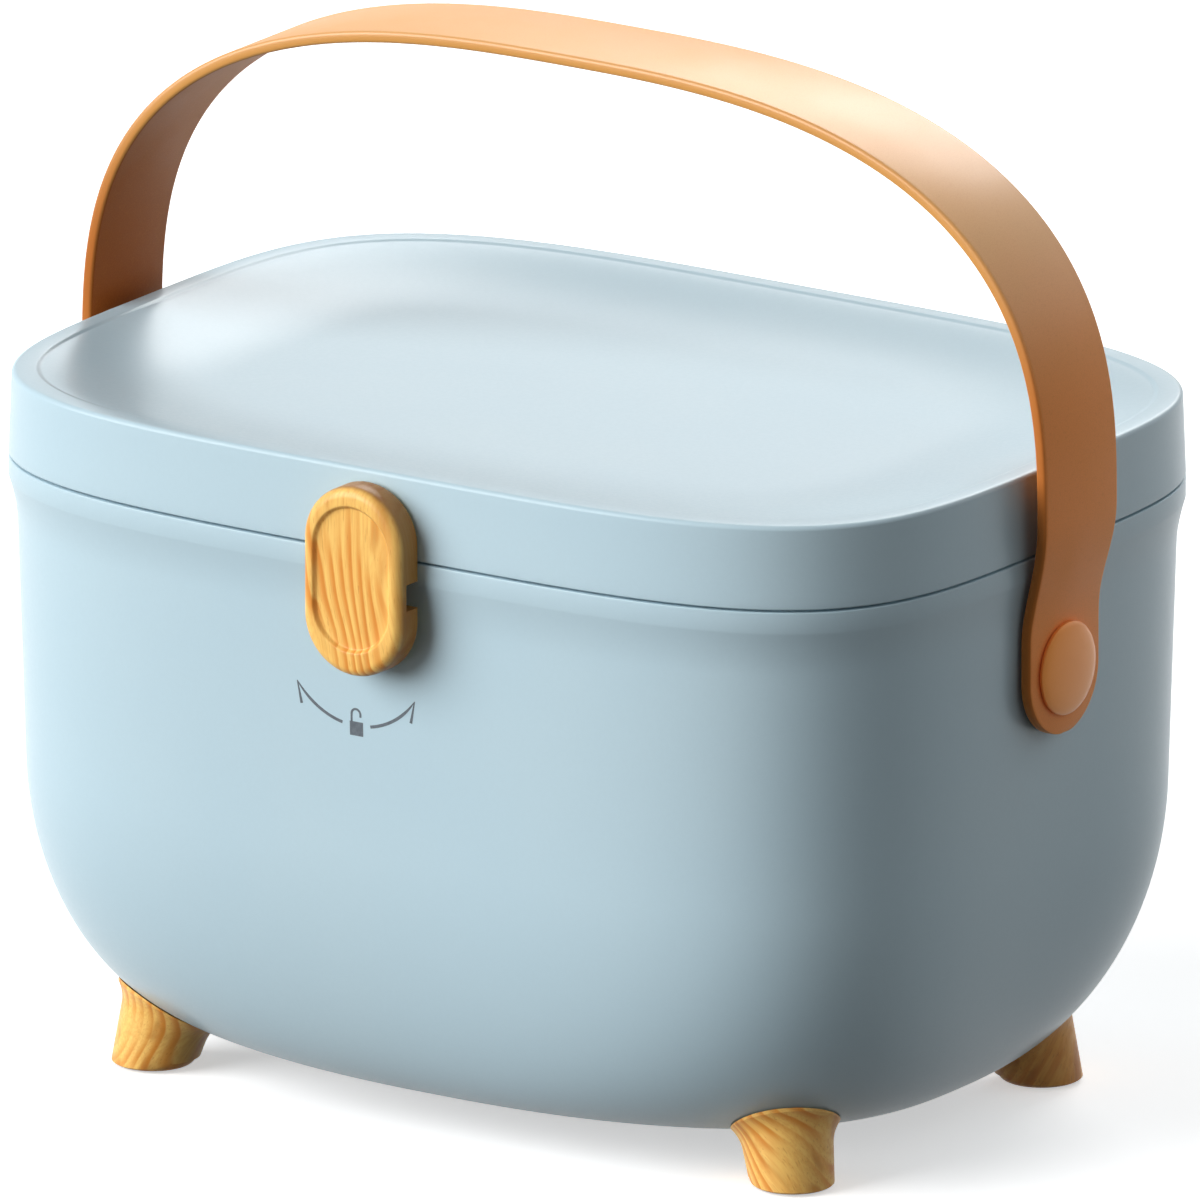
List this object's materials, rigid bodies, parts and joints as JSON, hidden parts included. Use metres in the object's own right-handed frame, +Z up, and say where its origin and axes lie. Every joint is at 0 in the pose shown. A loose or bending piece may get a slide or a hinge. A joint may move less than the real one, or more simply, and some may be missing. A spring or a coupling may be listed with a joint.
{
  "type": "medicine storage box",
  "caption": "Soft-cornered plastic box on short splayed wooden feet, with a dished hinged lid, a turning latch knob, a lift-out tray and a swinging strap handle.",
  "frame": {"origin": "on the floor, under the middle of the tub and lid, within 1 mm of the bounding box's middle", "axes": "+X towards the right side as seen from the front, +Y from the front latch towards the rear hinge, +Z up; the pads' undersides are at z = 0"},
  "size_m": [0.285, 0.2174, 0.263],
  "materials": {
    "body_plastic": "fine matt moulded surface, pale grey blue",
    "tray_plastic": "milky white moulded plastic",
    "wood": "clear satin lacquer over strong grain",
    "strap_leather": "smooth coated leather, sealed edges",
    "cap_plastic": "satin brown",
    "pad_rubber": "matt",
    "nylon": "natural",
    "steel": "bright zinc plate"
  },
  "bodies": {
    "tub": {"tub": "body_plastic", "tray": "tray_plastic", "tray_divider_left": "tray_plastic", "tray_divider_right": "tray_plastic", "foot_front_left": "wood", "foot_front_right": "wood", "foot_rear_left": "wood", "foot_rear_right": "wood", "pad_front_left": "pad_rubber", "pad_front_right": "pad_rubber", "pad_rear_left": "pad_rubber", "pad_rear_right": "pad_rubber", "foot_screws": "steel", "hinge_pin_left": "steel", "hinge_pin_right": "steel", "rivet_cap_left": "cap_plastic", "rivet_cap_right": "cap_plastic", "rivet_post_left": "steel", "rivet_post_right": "steel", "strap_washer_left": "nylon", "strap_washer_right": "nylon", "backing_washer_left": "steel", "backing_washer_right": "steel"},
    "lid": {"lid": "body_plastic"},
    "knob": {"latch_knob": "wood", "latch_washer": "steel", "latch_screw": "steel"},
    "handle": {"handle_strap": "strap_leather"}
  },
  "joints": [
    {"name": "lid_hinge", "type": "hinge", "parent": "tub", "child": "lid", "pos_m": [0, 0.10375, 0.1538], "axis": [-1, 0, 0], "range_deg": [0, 105], "deforming": ["handle_strap"]},
    {"name": "knob_turn", "type": "hinge", "parent": "lid", "child": "knob", "pos_m": [0, -0.09915, 0.1635], "axis": [0, -1, 0], "range_deg": [-25, 25]},
    {"name": "handle_swing", "type": "hinge", "parent": "tub", "child": "handle", "pos_m": [0, 0, 0.1255], "axis": [1, 0, 0], "range_deg": [-120, 120]}
  ]
}
